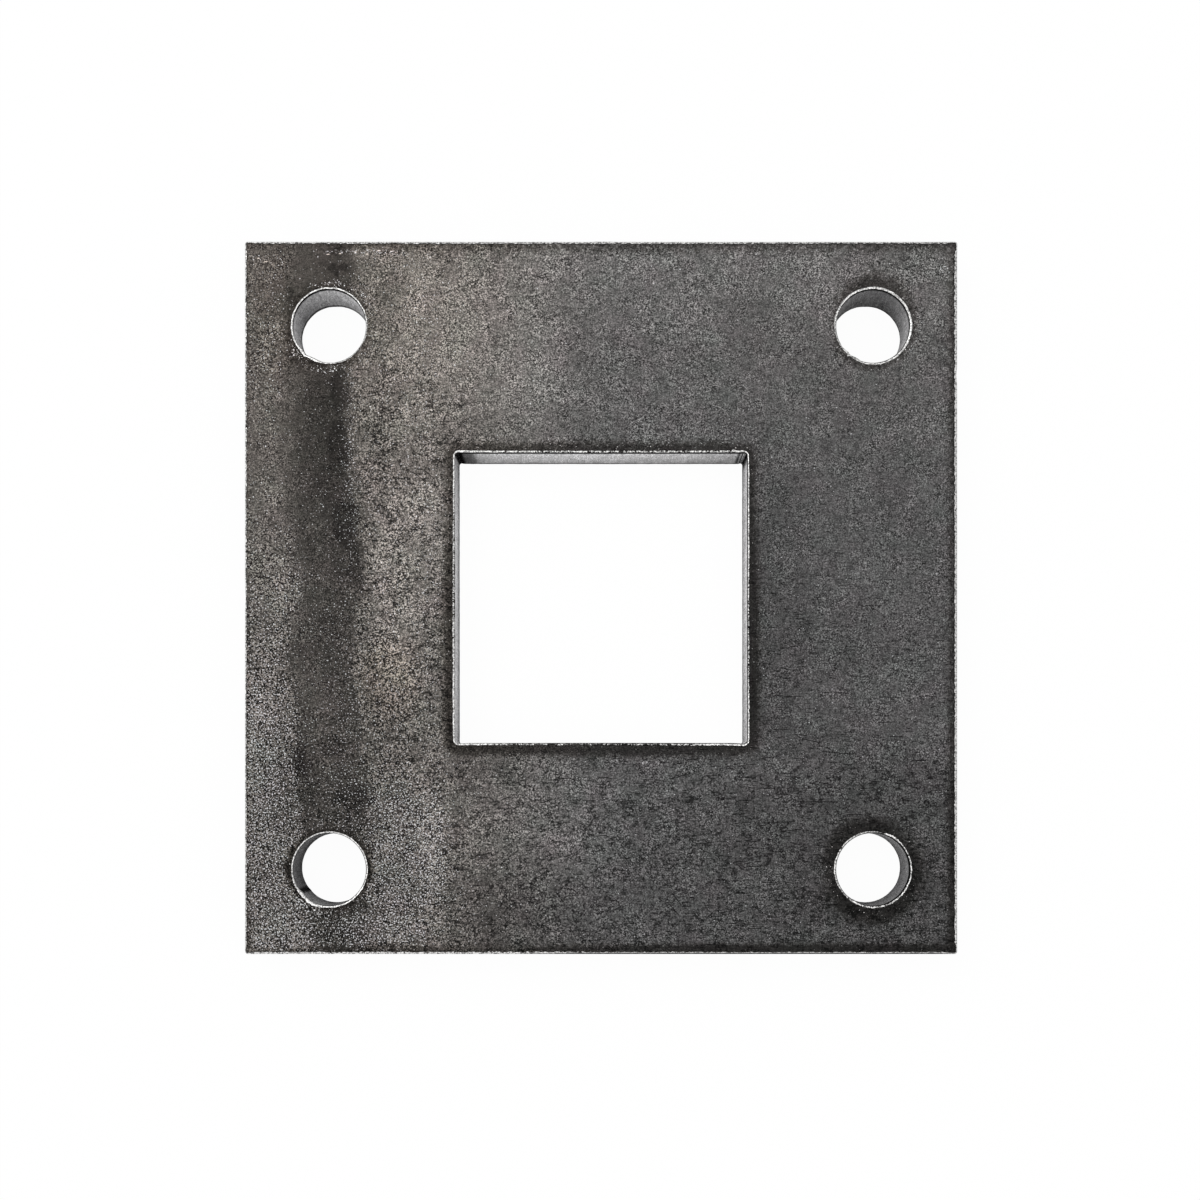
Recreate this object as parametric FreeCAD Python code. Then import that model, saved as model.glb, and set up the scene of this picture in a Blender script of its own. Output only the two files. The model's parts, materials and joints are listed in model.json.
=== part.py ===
import FreeCAD, Part
import math
import os

# Square mounting plate, cut by a beam from one piece of hot-rolled flat steel.
# A square opening in the middle takes a square post, and a bolt hole stands near each corner.
# The plate lies flat: Z = 0 is its underside, and X = Y = 0 is the middle of the opening.
# The cut starts and ends once on every hole, and leaves a small flat on its wall there.
# Sizes are in millimetres and angles in degrees, counted from +X towards +Y.

# Blank
plate_width = 100.0
plate_depth = 100.0
plate_thickness = 6.0
plate_corner_radius = 0.4

# Post opening
post_side = 40.0
post_clearance = 0.45
opening_corner_radius = 0.6

# Bolt holes
hole_diameter = 10.2
hole_pitch_x = 76.2
hole_pitch_y = 76.2

# Flat left on a hole's wall where the cut starts and ends
mark_height = 0.2
mark_lip_radius = 0.15
mark_root_depth = 0.3
mark_span_angle = 28.0
upper_left_mark_angle = 228.0
upper_right_mark_angle = 226.0
lower_left_mark_angle = 222.0
lower_right_mark_angle = 232.0

# Edges as the beam leaves them: melted round where it enters, small and crisp where it leaves
upper_edge_radius = 0.3
lower_edge_chamfer = 0.15

# How far a cutting body runs past the faces that it goes through
cut_overrun = 1.0

# Points nearer than this are one point
same_point = 1e-6


def edges_along_z(body):
    """The straight upright edges of a body."""
    found = []
    for edge in body.Edges:
        run = edge.lastVertex().Point - edge.firstVertex().Point
        if math.hypot(run.x, run.y) < same_point and abs(run.z) > same_point:
            found.append(edge)
    return found


def edges_at_height(body, height):
    """The edges that lie wholly at one height."""
    found = []
    for edge in body.Edges:
        box = edge.BoundBox
        if abs(box.ZMin - height) < same_point and abs(box.ZMax - height) < same_point:
            found.append(edge)
    return found


def rounded_block(width, depth, low, high, corner_radius):
    """An upright block about the Z axis, with its four upright edges rounded."""
    corner = FreeCAD.Vector(-width / 2, -depth / 2, low)
    block = Part.makeBox(width, depth, high - low, corner)
    return block.makeFillet(corner_radius, edges_along_z(block))


def post_cutter():
    """What is cut out for the post: its own section and a clearance on each side."""
    side = post_side + 2 * post_clearance
    low = -cut_overrun
    high = plate_thickness + cut_overrun
    return rounded_block(side, side, low, high, opening_corner_radius)


def hole_places():
    """Each bolt hole's centre, with the angle at which its cut starts."""
    x = hole_pitch_x / 2
    y = hole_pitch_y / 2
    return [
        (FreeCAD.Vector(-x, y, 0), upper_left_mark_angle),
        (FreeCAD.Vector(x, y, 0), upper_right_mark_angle),
        (FreeCAD.Vector(-x, -y, 0), lower_left_mark_angle),
        (FreeCAD.Vector(x, -y, 0), lower_right_mark_angle),
    ]


def hole_cutter(centre):
    """A round bar as wide as the bolt hole."""
    foot = centre - FreeCAD.Vector(0, 0, cut_overrun)
    return Part.makeCylinder(hole_diameter / 2, plate_thickness + 2 * cut_overrun, foot)


def at_angle(centre, radius, angle):
    """A point on a circle about an upright axis."""
    turn = math.radians(angle)
    return centre + FreeCAD.Vector(radius * math.cos(turn), radius * math.sin(turn), 0)


def lies_on(edge, start, end):
    """Whether an edge's two ends stand right above these two points."""
    ends = [FreeCAD.Vector(v.X, v.Y, 0) for v in edge.Vertexes]
    return all(min(p.distanceToPoint(start), p.distanceToPoint(end)) < same_point for p in ends)


def start_mark(centre, angle):
    """The sliver of steel left in a hole: a short step inwards, then a flat that runs out to the wall."""
    wall = hole_diameter / 2
    rounding = wall + upper_edge_radius
    root = rounding + mark_root_depth
    step = at_angle(centre, wall - mark_height, angle)
    runout = at_angle(centre, rounding, angle + mark_span_angle)
    root_start = at_angle(centre, root, angle)
    root_end = at_angle(centre, root, angle + mark_span_angle)
    outline = Part.makePolygon([root_start, step, runout, root_end, root_start])
    sliver = Part.Face(outline).extrude(FreeCAD.Vector(0, 0, plate_thickness))
    upper_edges = edges_at_height(sliver, plate_thickness)
    lip = [edge for edge in upper_edges if lies_on(edge, step, runout)]
    return sliver.makeFillet(mark_lip_radius, lip)


def cut_blank():
    """The blank with its opening and bolt holes, before its edges are finished."""
    blank = rounded_block(plate_width, plate_depth, 0, plate_thickness, plate_corner_radius)
    cutters = [post_cutter()]
    for centre, _ in hole_places():
        cutters.append(hole_cutter(centre))
    return blank.cut(cutters)


def plate():
    """The finished plate: cut blank, rounded and chamfered edges, and the start marks."""
    body = cut_blank()
    body = body.makeFillet(upper_edge_radius, edges_at_height(body, plate_thickness))
    body = body.makeChamfer(lower_edge_chamfer, edges_at_height(body, 0))
    for centre, angle in hole_places():
        body = body.fuse(start_mark(centre, angle))
    return body.removeSplitter().Solids[0]


os.makedirs("parts", exist_ok=True)
finished = plate()
finished.exportStep("parts/plate.step")
print("plate volume mm3:", round(finished.Volume, 1), "valid:", finished.isValid())
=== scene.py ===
import json
import math
from types import SimpleNamespace
import bpy
import numpy as np
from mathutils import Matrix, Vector
from mathutils.geometry import delaunay_2d_cdt
from mathutils.kdtree import KDTree


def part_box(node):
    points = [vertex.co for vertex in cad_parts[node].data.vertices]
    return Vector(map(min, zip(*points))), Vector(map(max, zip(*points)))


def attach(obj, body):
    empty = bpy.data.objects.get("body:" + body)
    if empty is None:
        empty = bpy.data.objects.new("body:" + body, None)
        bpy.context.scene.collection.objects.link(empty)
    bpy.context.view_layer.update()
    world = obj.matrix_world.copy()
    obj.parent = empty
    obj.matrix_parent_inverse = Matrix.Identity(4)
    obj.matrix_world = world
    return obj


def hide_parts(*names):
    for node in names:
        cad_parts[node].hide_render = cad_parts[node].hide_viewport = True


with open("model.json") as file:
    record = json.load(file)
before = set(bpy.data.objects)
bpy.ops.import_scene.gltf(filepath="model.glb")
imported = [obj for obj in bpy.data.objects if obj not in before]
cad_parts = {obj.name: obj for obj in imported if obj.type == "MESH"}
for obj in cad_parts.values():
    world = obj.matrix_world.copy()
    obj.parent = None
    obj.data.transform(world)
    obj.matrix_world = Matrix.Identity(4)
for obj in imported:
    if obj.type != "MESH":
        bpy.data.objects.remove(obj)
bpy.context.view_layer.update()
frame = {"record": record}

# Shapes are worked out in millimetres on the plate: x to the right, y up, z out of the upper face.
metresPerMm = 0.001
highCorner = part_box("plate")[1]
boltDims = next(mount["dims"] for mount in frame["record"]["mounts"] if mount["name"] == "bolt_holes")
halfSide = highCorner.x / metresPerMm
thickness = highCorner.z / metresPerMm
halfPitch = boltDims["spacing_x_mm"] / 2
boreRadius = boltDims["hole_r_mm"]
rng = np.random.default_rng(41)
noiseReach = 1.2  # how far the noise lattices run, in half sides of the plate
noiseSpare = 3  # lattice points more than whole cells
print("frame loaded:", round(2 * halfSide, 2), "mm square,", round(thickness, 2), "mm thick")


# Helpers for the shapes

def smoothStep(low, high, value):
    t = np.clip((value - low) / (high - low), 0.0, 1.0)
    return t * t * (3 - 2 * t)


def keyed(degrees, keys):
    # keys in hundredths: one number all round a cut, or numbers by angle joined by straight lines
    if not isinstance(keys, dict):
        return np.full(len(degrees), keys / 100)
    return np.interp(degrees, list(keys), [value / 100 for value in keys.values()], period=360)


def loopNoise(count, knots):
    # seeded noise along a closed cut, from -1 to 1, with this many knots round it
    values = rng.uniform(-1, 1, knots)
    place = np.arange(count) * knots / count
    first = place.astype(int)
    blend = smoothStep(0, 1, place - first)
    return values[first % knots] * (1 - blend) + values[(first + 1) % knots] * blend


def cloudNoise(points, cell):
    # seeded soft noise over the face, from -1 to 1, with blots about as wide as a cell
    size = int(2 * noiseReach * halfSide / cell) + noiseSpare
    lattice = rng.uniform(-1, 1, (size, size))
    place = (points + noiseReach * halfSide) / cell
    first = place.astype(int)
    blend = smoothStep(0, 1, place - first)
    x, y = first[:, 0], first[:, 1]
    across, up = blend[:, 0], blend[:, 1]
    lower = lattice[x, y] * (1 - across) + lattice[x + 1, y] * across
    upper = lattice[x, y + 1] * (1 - across) + lattice[x + 1, y + 1] * across
    return lower * (1 - up) + upper * up


def clouds(points, layers):
    # several cloud noises on top of each other, each with its cell in mm and its strength
    return sum(strength * cloudNoise(points, cell) for cell, strength in layers)


def makeSearch(points):
    search = KDTree(len(points))
    for i, (x, y) in enumerate(points.tolist()):
        search.insert((x, y, 0.0), i)
    search.balance()
    return search


def findNearest(points, search):
    # distance to the nearest point of a search tree, and its index
    found = [search.find((x, y, 0.0)) for x, y in points.tolist()]
    return np.array([hit[2] for hit in found]), np.array([hit[1] for hit in found], int)


# The cuts: the outline, the post opening and the four bolt holes

cutForm = {
    "openingHalf": 20.5,  # mm, from the middle to the wall just under the lip
    "openingCorner": 0.6,
    "outlineCorner": 0.4,
    "outlineInset": 0.04,  # keeps bumps on the outline inside the solid's box
    "outlineStep": 0.26,
    "openingStep": 0.2,
    "borePoints": 216,
    "cornerExtra": 3,  # points of a corner beyond those that its step asks for
    "widthPoints": 4,  # points to each knot of the noise in the lip's width, its burrs and the wall's waves
    "burrPoints": 2,
    "wavePoints": 3,
    "widthWander": 0.12,  # how far the lip's width wanders and jumps where it is fully ragged
    "widthJump": 0.3,
    "widthRange": (0.08, 0.6),
    "burr": 0.035,  # mm that the lip's rows stray sideways where it is fully ragged
    "burrRise": 0.6,  # share of faceDrop that a burr may rise
    "burrCrest": 1.4,  # burrs are highest at 0.5 over this across the lip, and gone at 1 over this
    "curve": 1.3,  # how late the lip and the taper turn down
    "striation": 0.012,  # depth of the waves that the cut leaves on its walls
    "underChamfer": 0.12,
    "inwardLost": 0.6,  # share of a mark on the wall that is gone at its foot
    "faceDrop": 0.035,  # mm that the face lies under the solid's, which leaves burrs their room
    "topGap": 0.002,  # least gap to the top and to the sides of the solid's box
    "sideGap": 0.003,
    "lipDepth": 0.3,
    "lipSteps": 6,
    "wallSteps": 7,
    "seamReach": 0.2,  # mm of face beside the lip that its dark seam may cover
    "cornerZone": 3,  # corner radii from a side at which the outline's tight corners start
    "cornerLip": 0.2,  # widest lip, and lip with seam, in those corners
    "cornerReach": 0.36,
}

# Keys are degrees round each cut's middle, from the right and counter-clockwise, and values are hundredths.
# inward is how far the wall stands into the hole in mm, and taper how much further at its foot.
# The melted lip has its width in mm, its level of bright metal, which is the metal's own lighter grey with a
# painted highlight on it, the cover of that metal, the share of the width at which that metal ends
# (lipSplit), the painted shade from there to the wall where the lip turns down, how dark it is along the face
# (lipSeam), a painted highlight line along its edge at the wall, and how ragged it is. The heat stain on the
# face has its reach in mm and its depth, and spatter is how much of it lies beside the cut. The wall has its
# level, which is its own grey with painted light and shade that differ round the cut and go black in the
# opening's corners, and the height of the painted shadow line at its foot as a share of its own.
# What a plan leaves out comes from plainCut.
plainCut = {"taper": 0, "lipSeam": 0, "lipEdge": 0, "spatter": 0, "wallFoot": 5}
upperTaper = {0: 10, 45: 28, 90: 44, 135: 28, 180: 10}
lowerTaper = {0: 10, 45: 12, 90: 16, 135: 12, 180: 10}
cutPlans = {
    "upperLeftBore": {
        "middle": (-halfPitch, halfPitch),
        "inward": {200: 0, 212: 3, 221: 17, 225: 8, 230: -6, 232.5: 0, 238: 12, 245: 16, 252: 12, 258: 3,
            266: 2, 275: 0},
        "taper": upperTaper,
        "lipWidth": {0: 24, 45: 28, 90: 32, 180: 28, 222: 26, 230: 50, 234: 26, 250: 26, 270: 22, 330: 22},
        "lipTone": {10: 70, 30: 85, 90: 93, 200: 95, 258: 95, 275: 72, 350: 62},
        "lipCover": {0: 75, 30: 95, 200: 100, 258: 95, 270: 75, 330: 65},
        "lipSplit": {0: 60, 90: 58, 150: 60, 200: 75, 250: 70, 300: 60},
        "lipDark": {0: 85, 30: 90, 60: 100, 150: 100, 210: 70, 260: 90, 300: 75},
        "ragged": {30: 40, 90: 35, 180: 30, 262: 50, 300: 90, 350: 90},
        "haloReach": {0: 120, 90: 140, 135: 150, 180: 160, 225: 280, 270: 150, 315: 160},
        "haloDepth": {0: 55, 90: 50, 135: 65, 180: 60, 225: 80, 270: 50, 315: 60},
        "wallTone": {60: 80, 150: 55, 210: 70, 270: 50},
        "wallFoot": 10,
        "spatter": {0: 70, 20: 80, 38: 105, 60: 80, 90: 110, 112: 60, 160: 50, 190: 70, 212: 115, 235: 90,
            268: 110, 300: 70, 340: 75},
    },
    "upperRightBore": {
        "middle": (halfPitch, halfPitch),
        "inward": {210: 0, 214: -5, 218: 5, 222: 8, 226: 20, 229: 10, 233: 3, 237: 10, 241: 18, 246: 12,
            250: 2, 254: 0},
        "taper": upperTaper,
        "lipWidth": {0: 42, 90: 40, 170: 36, 195: 26, 225: 22, 230: 38, 233: 22, 255: 30, 300: 38},
        "lipTone": {0: 86, 90: 84, 170: 84, 195: 70, 228: 85, 240: 65, 255: 88, 300: 90},
        "lipCover": {0: 100, 170: 100, 205: 85, 228: 90, 240: 60, 255: 95},
        "lipSplit": {0: 68, 90: 70, 170: 66, 195: 45, 215: 45, 230: 80, 255: 55, 290: 50, 310: 66},
        "lipDark": {0: 95, 60: 100, 120: 100, 170: 80, 210: 70, 230: 10, 255: 80},
        "lipSeam": {0: 40, 90: 60, 180: 50, 270: 30},
        "lipEdge": {165: 0, 180: 80, 215: 80, 225: 0, 250: 0, 262: 80, 290: 70, 305: 0},
        "ragged": {0: 22, 170: 22, 205: 35, 235: 90, 255: 40},
        "haloReach": {0: 110, 50: 240, 90: 260, 180: 100, 225: 130, 270: 130},
        "haloDepth": {0: 70, 50: 80, 90: 95, 180: 45, 225: 70},
        "wallTone": {0: 65, 60: 45, 250: 50, 330: 70},
        "spatter": {0: 50, 90: 55, 180: 40, 270: 60, 320: 75},
    },
    "lowerLeftBore": {
        "middle": (-halfPitch, -halfPitch),
        "inward": {205: 0, 214: 5, 221: 18, 224: 10, 230: 5, 240: -2, 250: 0, 257: 4, 300: 5, 330: 0},
        "taper": lowerTaper,
        "lipWidth": {0: 30, 90: 26, 180: 24, 222: 28, 236: 42, 252: 42, 262: 26, 300: 27},
        "lipTone": {0: 88, 90: 90, 180: 80, 222: 88, 240: 86, 260: 90, 300: 85},
        "lipCover": {0: 75, 90: 85, 180: 75, 222: 95, 245: 85, 262: 100, 300: 90},
        "lipSplit": {0: 50, 60: 68, 180: 70, 222: 80, 240: 85, 262: 70, 300: 60},
        "lipDark": {0: 80, 90: 100, 180: 80, 230: 40, 260: 90, 300: 90},
        "lipSeam": {0: 40, 60: 10, 300: 10},
        "lipEdge": {300: 0, 320: 70, 20: 70, 40: 0},
        "ragged": {0: 40, 90: 30, 180: 40, 222: 80, 245: 120, 262: 50, 300: 35},
        "haloReach": {0: 100, 90: 100, 180: 120, 225: 90, 260: 140},
        "haloDepth": {0: 80, 45: 60, 90: 65, 135: 70, 180: 100, 225: 60, 260: 60, 315: 55},
        "wallTone": {90: 40, 210: 40, 214: 15, 219: 15, 224: 50, 255: 50, 270: 40, 300: 55},
        "spatter": {180: 50, 215: 80, 245: 100, 270: 75, 300: 50},
    },
    "lowerRightBore": {
        "middle": (halfPitch, -halfPitch),
        "inward": {225: 0, 232: 4, 235: -4, 238: 12, 243: 3, 250: 0},
        "taper": lowerTaper,
        "lipWidth": {0: 38, 40: 35, 60: 42, 75: 28, 120: 30, 180: 38, 225: 26, 236: 34, 240: 28, 270: 30,
            310: 36},
        "lipTone": {0: 88, 40: 82, 57: 98, 68: 98, 74: 40, 90: 75, 135: 80, 180: 84, 230: 76, 240: 88,
            285: 88, 310: 92},
        "lipCover": {50: 70, 57: 100, 68: 100, 74: 40, 90: 60, 180: 75, 230: 60, 240: 75, 285: 55, 310: 70},
        "lipSplit": {320: 50, 0: 42, 40: 42, 57: 60, 68: 60, 75: 50, 90: 55, 135: 50, 180: 50, 225: 60,
            240: 70, 285: 65},
        "lipDark": {60: 100, 90: 80, 180: 70, 225: 80, 270: 100},
        "lipSeam": {0: 40, 120: 60, 180: 60, 225: 50},
        "lipEdge": {120: 0, 140: 70, 215: 70, 225: 0},
        "ragged": {0: 40, 60: 60, 90: 40, 180: 25, 225: 60, 280: 60},
        "haloReach": {0: 240, 45: 260, 135: 260, 180: 220, 225: 260, 270: 260, 315: 240},
        "haloDepth": {0: 90, 45: 75, 90: 90, 135: 115, 180: 80, 225: 100, 270: 115, 315: 100},
        "wallTone": {60: 55, 180: 40, 260: 40, 290: 45},
        "spatter": {0: 40, 240: 55, 300: 40},
    },
    "postOpening": {
        "middle": (0.0, 0.0),
        "inward": {44.5: 0, 46: 24, 90: 27, 134: 24, 135.5: 0, 224: 0, 228: 15, 270: 17, 312: 15, 316: 0},
        "taper": {0: 13, 44: 15, 46: 31, 134: 31, 136: 10, 180: 10, 270: 12},
        "lipWidth": {0: 26, 40: 28, 44.8: 20, 47.4: 14, 47.8: 50, 48.2: 14, 90: 10, 130: 13, 138: 26,
            180: 34, 220: 32, 228: 16, 270: 15, 312: 22, 318: 28},
        "lipTone": {0: 74, 40: 76, 44: 88, 90: 93, 134: 90, 150: 80, 180: 77, 226: 85, 240: 80, 270: 80,
            305: 85, 310: 92, 316: 85, 335: 76},
        "lipCover": {0: 55, 44: 95, 48: 55, 90: 46, 130: 65, 135: 95, 150: 55, 180: 48, 224: 85, 240: 45,
            270: 36, 300: 42, 308: 85, 316: 85, 335: 50},
        "lipSplit": {0: 66, 44: 62, 130: 62, 140: 75, 180: 75, 226: 80, 270: 70, 315: 60},
        "lipDark": {0: 90, 44: 100, 90: 90, 135: 100, 140: 60, 225: 60, 270: 80, 315: 90},
        "lipSeam": {0: 90, 44: 70, 46: 20, 180: 20, 225: 40, 270: 70, 315: 90},
        "ragged": {0: 50, 45: 30, 90: 60, 135: 30, 180: 45, 225: 50, 270: 100, 335: 80},
        "haloReach": {0: 160, 30: 150, 60: 140, 90: 150, 120: 140, 150: 160, 180: 180, 210: 180, 225: 160,
            250: 160, 290: 170, 315: 180, 340: 170},
        "haloDepth": {0: 110, 30: 80, 60: 85, 90: 90, 120: 80, 150: 75, 180: 95, 225: 95, 250: 110, 290: 120,
            315: 100, 340: 110},
        "wallTone": {0: 75, 42.6: 73, 43.6: 35, 44.2: 6, 44.7: 6, 44.95: 80, 45.15: 10, 45.45: 95, 45.7: 6,
            46.1: 80, 46.5: 12, 46.9: 68, 60: 74, 95: 77, 127: 74, 130.6: 68,
            131.4: 42, 133.4: 36, 133.9: 6, 135.5: 6, 136: 60, 150: 71, 180: 70, 215: 70, 270: 60, 330: 73},
        "wallFoot": {44: 14, 46: 8, 90: 10, 134: 8, 137: 20, 180: 22, 224: 20, 270: 10, 316: 14},
        "spatter": {0: 30, 46: 50, 90: 60, 134: 50, 180: 45, 270: 35},
    },
    "outline": {
        "middle": (0.0, 0.0),
        "inward": {31: 0, 32: 12, 33: 0, 44: 0, 44.8: -4, 45.4: 0, 87.6: 0, 88.3: -4, 90.9: -4, 91.4: 0,
            178: 0, 180: 10, 182: 0},
        "lipWidth": {0: 42, 43: 44, 47: 30, 90: 34, 133: 30, 137: 24, 223: 24, 227: 32, 250: 32, 268: 30,
            313: 30, 317: 42},
        "lipTone": {0: 70, 43: 74, 47: 74, 90: 76, 133: 74, 180: 74, 223: 76, 227: 82, 260: 82, 268: 70},
        "lipCover": {0: 80, 90: 75, 135: 70, 225: 70, 250: 60, 300: 75, 317: 85},
        "lipSplit": {225: 95, 250: 90, 268: 40, 313: 40, 317: 95},
        "lipDark": {0: 20, 90: 0, 225: 0, 250: 20, 268: 100, 313: 100, 317: 20},
        "lipSeam": {45: 100, 90: 85, 135: 90, 180: 85, 225: 70, 250: 45, 270: 50, 313: 40, 317: 100},
        "ragged": {0: 50, 45: 70, 90: 80, 135: 90, 180: 70, 225: 80, 260: 100, 300: 60},
        "haloReach": {30: 150, 60: 170, 90: 180, 120: 160, 140: 60, 180: 60, 220: 70, 235: 130, 255: 140,
            270: 130, 300: 130, 315: 140, 340: 150},
        "haloDepth": {0: 70, 30: 70, 60: 65, 90: 68, 120: 65, 140: 40, 180: 35, 220: 50, 235: 60, 255: 70,
            270: 110, 300: 120, 315: 100, 340: 80},
        "wallTone": {0: 50, 90: 50, 180: 46, 270: 48},
    },
}


def roundedSquare(half, corner, step):
    # points and outward directions round a square, counter-clockwise from the foot of its right side
    run = 2 * (half - corner)
    runPoints = int(round(run / step))
    cornerPoints = int(round(corner * math.pi / 2 / step)) + cutForm["cornerExtra"]
    points, outward = [], []
    for side in range(4):
        facing = side * math.pi / 2
        out = np.array([math.cos(facing), math.sin(facing)])
        along = np.array([-out[1], out[0]])
        for i in range(runPoints):
            points.append(out * half + along * (run * i / runPoints - run / 2))
            outward.append(out)
        centre = (out + along) * (half - corner)
        for i in range(cornerPoints):
            angle = facing + math.pi / 2 * i / cornerPoints
            direction = np.array([math.cos(angle), math.sin(angle)])
            points.append(centre + corner * direction)
            outward.append(direction)
    return np.array(points), np.array(outward)


def circle(radius, count):
    angles = np.arange(count) * 2 * math.pi / count
    outward = np.stack([np.cos(angles), np.sin(angles)], axis=1)
    return radius * outward, outward


def layOutCut(name):
    isOutline = name == "outline"
    outlineHalf = halfSide - cutForm["outlineInset"]
    if isOutline:
        base, outward = roundedSquare(outlineHalf, cutForm["outlineCorner"], cutForm["outlineStep"])
        intoSteel = -outward
    elif name == "postOpening":
        half = cutForm["openingHalf"]
        base, intoSteel = roundedSquare(half, cutForm["openingCorner"], cutForm["openingStep"])
    else:
        base, intoSteel = circle(boreRadius, cutForm["borePoints"])
    count = len(base)
    degrees = np.degrees(np.arctan2(base[:, 1], base[:, 0])) % 360
    plan = {**plainCut, **cutPlans[name]}
    cut = {quality: keyed(degrees, keys) for quality, keys in plan.items() if quality != "middle"}
    wander = cutForm["widthWander"] * loopNoise(count, count // cutForm["widthPoints"])
    jump = cutForm["widthJump"] * rng.uniform(-1, 1, count)
    lipWidth = np.clip(cut["lipWidth"] * (1 + cut["ragged"] * (wander + jump)), *cutForm["widthRange"])
    seamReach = np.full(count, cutForm["seamReach"])
    if isOutline:
        zone = outlineHalf - cutForm["cornerZone"] * cutForm["outlineCorner"]
        nearCorner = np.abs(base).min(axis=1) > zone
        lipWidth = np.where(nearCorner, np.minimum(lipWidth, cutForm["cornerLip"]), lipWidth)
        seamReach = np.where(nearCorner, cutForm["cornerReach"] - lipWidth, seamReach)
        cut["inward"] = -cut["inward"]
    base = base + np.array(plan["middle"])
    cut.update(base=base, search=makeSearch(base), intoSteel=intoSteel, lipWidth=lipWidth,
        seamReach=seamReach, isOutline=isOutline)
    return cut


cuts = [layOutCut(name) for name in cutPlans]
print("cuts laid out:", sum(len(cut["base"]) for cut in cuts), "points round them")


# The mill scale's look over the face

# Bands that the rolls left up and down the plate, between a left and a right border in mm. soft is half
# the width over which each border fades, and each quality is what the band adds at the plate's top and foot.
rollBands = {
    "left edge": dict(left=-52, right=-43.8, soft=(1.2, 0.8), tone=(-0.045, 0), grain=(0.25, 2.3),
        sparkle=(0.3, 1)),
    "dark band": dict(left=-43.8, right=-34.9, soft=(0.8, 0.5), tone=(-0.05, -0.04), grain=(-0.3, 0.95),
        sparkle=(0.06, 0.6)),
    "darkest strip": dict(left=-39.4, right=-34.9, soft=(1, 0.5), tone=(-0.03, -0.02), sparkle=(0.05, 0.1)),
    "speckled border": dict(left=-34.9, right=-28.5, soft=(0.5, 0.8), tone=(0.015, -0.01),
        grain=(0.55, 1.5), sparkle=(0.3, 0.6)),
    "lightest band": dict(left=-28.5, right=-23, soft=(1.6, 1.6), tone=(0.055, 0.05), grain=(0.38, 0.9),
        sparkle=(0.4, 0.55)),
    "beside the opening": dict(left=-23, right=-18.5, soft=(1.6, 1.6), tone=(0.045, 0.025),
        grain=(0.35, 0.7), sparkle=(0.25, 0.4)),
    "through the opening": dict(left=-18.5, right=-8.5, soft=(2, 2), tone=(0.052, 0.005), grain=(0.5, 0.6),
        sparkle=(0.15, 0.25)),
    "its right border": dict(left=-8.5, right=-4, soft=(2, 2), tone=(0.04, 0.02), grain=(0.4, 0.5)),
    "middle": dict(left=-4, right=12, soft=(3, 3), tone=(0, 0.015), grain=(0.2, 0.4)),
}

# How far the bands drift to the right, by height on the plate, in mm
bandDrift = {-50: 2, -31: 1.8, -20: 1.5, -10: 0.5, -3.2: 0.2, -0.4: 1.8, 2.5: 1.9, 8.1: 1, 13.7: 0.4,
    18.6: -0.5, 24.9: -0.6, 50: 0}

# Blots placed one by one: middle and size in mm, and what each adds
scalePatches = {
    "dark band's heart": ((-38.5, 14), (5, 25), dict(tone=-0.04, grain=-0.25)),
    "dark above the upper left hole": ((-39.5, 44), (6.5, 7), dict(tone=-0.045, grain=-0.3)),
    "pale left of the opening": ((-28, 8), (6, 9), dict(tone=0.05)),
    "pale above the opening": ((-9, 33), (5, 6), dict(tone=0.035)),
    "pale below the opening": ((-10, -32), (15, 9), dict(tone=0.04)),
    "pale at the light band's top": ((-22, 40), (8, 6), dict(tone=0.02)),
    "pale at the opening's corner": ((-19.5, 29), (9, 5), dict(tone=0.035)),
    "brown patch": ((-29.7, -11.7), (4, 6), dict(grain=0.2, warmth=0.35)),
    "smooth dark at the top right": ((21, 38.5), (5, 4.5), dict(tone=-0.03, grain=-0.2)),
    "right of the opening": ((24, -2), (5, 20), dict(tone=-0.03)),
    "lower right": ((38, -37), (14, 14), dict(tone=-0.025)),
    "calm left edge": ((-48, 14), (4.5, 15), dict(tone=0.025, grain=-0.4, sparkle=-0.2)),
    "speckled left edge": ((-48, -32), (3, 17), dict(grain=0.7, sparkle=0.8)),
    "bottom left corner": ((-45, -43), (7, 8), dict(grain=0.3, sparkle=0.4)),
    "bottom left": ((-38, -38), (17, 12), dict(tone=-0.035)),
    "dark beside the bottom left": ((-44, -24), (4.5, 9), dict(tone=-0.06)),
    "dark beside the upper left hole": ((-40, 24), (3, 10), dict(tone=-0.015)),
    "pale beside the dark band": ((-29, -2), (3, 12), dict(tone=0.055)),
    "glints low in the light band": ((-27, -36), (6, 11), dict(grain=0.25, sparkle=0.6)),
    "glints on the dark band's border": ((-35.3, 20), (1.1, 15), dict(sparkle=0.25)),
    "brown speckle": ((-46, 40), (2.6, 10), dict(warmth=0.15, grain=0.3, sparkle=0.1)),
    "row of glints at the top left": ((-33, 48.65), (6.5, 0.3), dict(sparkle=1.2)),
    "glints in the top right corner": ((48.2, 46), (0.9, 0.7), dict(sparkle=1.2)),
    "glints at the light band's foot": ((-31, -46.5), (7, 2), dict(sparkle=0.5)),
    "paler top right": ((24, 44), (30, 9), dict(tone=0.028, grain=0.2)),
    "smear below the opening": ((20, -31), (0.8, 5), dict(tone=-0.04)),
}

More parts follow.
